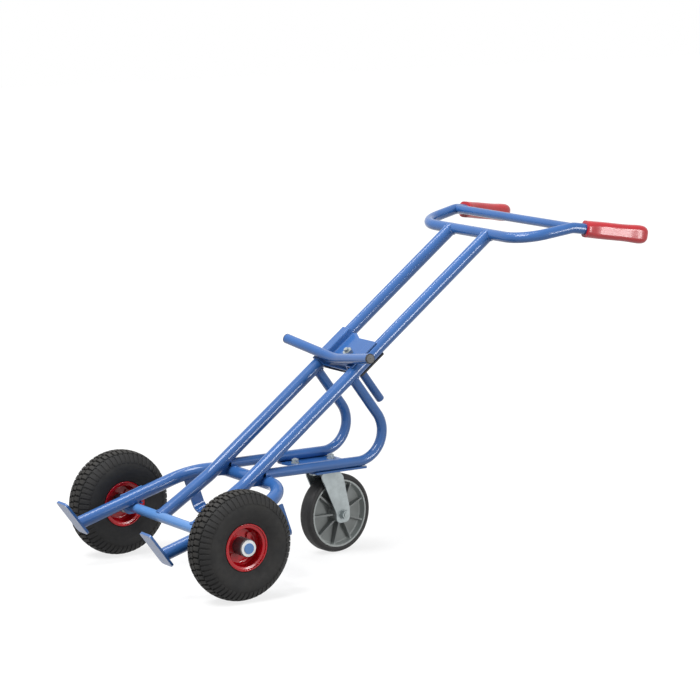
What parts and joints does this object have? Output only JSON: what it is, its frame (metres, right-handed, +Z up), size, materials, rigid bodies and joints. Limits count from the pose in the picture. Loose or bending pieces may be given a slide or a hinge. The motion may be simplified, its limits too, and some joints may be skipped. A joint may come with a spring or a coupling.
{
  "type": "drum trolley",
  "caption": "Steel-tube drum trolley with pneumatic wheels, swivel support caster, toe plates, sliding drum saddle on a screw clamp and a looped handle with grips.",
  "frame": {"origin": "on the floor, under the middle of the trolley's box, with the trolley parked on its three wheels", "axes": "+X forward towards the toe plates, +Y to the operator's left, +Z up"},
  "size_m": [1.4036, 0.647, 0.8081],
  "materials": {
    "blue_paint": "gloss powder coat, mid blue",
    "light_blue_paint": "gloss paint, lighter blue",
    "tyre_rubber": "matt black, slightly dusty block tread",
    "inner_tube_rubber": "matt black",
    "red_paint": "gloss red",
    "dark_steel": "oiled steel",
    "zinc_steel": "bright zinc plating with a faint blue cast",
    "white_plastic": "smooth white",
    "red_plastic": "gloss red, moulded",
    "black_plastic": "satin black",
    "black_paint": "satin black",
    "grey_plastic": "satin mid grey, moulded",
    "caster_rubber": "matt brownish black",
    "red_seal": "satin dark red"
  },
  "bodies": {
    "frame": {"rail_left": "blue_paint", "rail_right": "blue_paint", "base_fork": "blue_paint", "toe_plate_left": "blue_paint", "toe_plate_right": "blue_paint", "axle": "light_blue_paint", "axle_lug_left": "light_blue_paint", "axle_lug_right": "light_blue_paint", "axle_inner_washers": "zinc_steel", "axle_retaining_washers": "white_plastic", "leg_left": "blue_paint", "leg_right": "blue_paint", "rail_gussets": "blue_paint", "foot_step": "blue_paint", "caster_mounting_plate": "blue_paint", "caster_top_plate": "zinc_steel", "caster_kingpin": "zinc_steel", "caster_bolts": "zinc_steel", "caster_washers": "zinc_steel", "caster_nuts": "zinc_steel", "handle_tube": "blue_paint", "handle_cross_bar": "blue_paint", "grip_left": "red_plastic", "grip_right": "red_plastic"},
    "wheel_left": {"tyre_left": "tyre_rubber", "inner_tube_left": "inner_tube_rubber", "rim_outer_left": "red_paint", "rim_inner_left": "red_paint", "rim_bolts_left": "zinc_steel", "hub_left": "dark_steel", "bearings_left": "dark_steel"},
    "wheel_right": {"tyre_right": "tyre_rubber", "inner_tube_right": "inner_tube_rubber", "rim_outer_right": "red_paint", "rim_inner_right": "red_paint", "rim_bolts_right": "zinc_steel", "hub_right": "dark_steel", "bearings_right": "dark_steel"},
    "caster_swivel": {"caster_fork": "zinc_steel", "caster_seal": "red_seal", "caster_swivel_balls": "dark_steel", "caster_axle_bolt": "zinc_steel", "caster_axle_nut": "zinc_steel", "caster_axle_washer": "zinc_steel", "caster_axle_sleeve": "zinc_steel"},
    "caster_wheel": {"caster_tyre": "caster_rubber", "caster_wheel_centre": "grey_plastic", "caster_bearing": "dark_steel"},
    "carriage": {"carriage_plate": "blue_paint", "saddle_tube": "blue_paint", "saddle_cap_left": "black_plastic", "saddle_cap_right": "black_plastic", "clamp_nut": "zinc_steel"},
    "clamp_plate": {"clamp_plate": "black_paint"},
    "clamp_handle": {"clamp_screw": "zinc_steel", "clamp_handle": "blue_paint"}
  },
  "joints": [
    {"name": "left_wheel_spin", "type": "hinge", "parent": "frame", "child": "wheel_left", "pos_m": [0.49776, 0.28, 0.13], "axis": [0, 1, 0], "continuous": true},
    {"name": "right_wheel_spin", "type": "hinge", "parent": "frame", "child": "wheel_right", "pos_m": [0.49776, -0.28, 0.13], "axis": [0, 1, 0], "continuous": true},
    {"name": "caster_swivel", "type": "hinge", "parent": "frame", "child": "caster_swivel", "pos_m": [0.08276, 0, 0.2], "axis": [0, 0, 1], "continuous": true},
    {"name": "caster_wheel_spin", "type": "hinge", "parent": "caster_swivel", "child": "caster_wheel", "pos_m": [0.04198, -0.00429, 0.098], "axis": [-0.1045, 0.9945, 0], "continuous": true},
    {"name": "carriage_slide", "type": "slide", "parent": "frame", "child": "carriage", "axis": [-0.7944, 0, 0.6074], "range_m": [0, 0.36]},
    {"name": "clamp_release", "type": "slide", "parent": "carriage", "child": "clamp_plate", "axis": [-0.6074, 0, -0.7944], "range_m": [0, 0.00175]},
    {"name": "clamp_handle_turn", "type": "hinge", "parent": "clamp_plate", "child": "clamp_handle", "pos_m": [-0.03498, 0, 0.44164], "axis": [0.6074, 0, 0.7944], "range_deg": [0, 360]}
  ],
  "couplings": [
    {"joint": "clamp_handle_turn", "follows": "clamp_release", "rad_per_m": 3590}
  ]
}
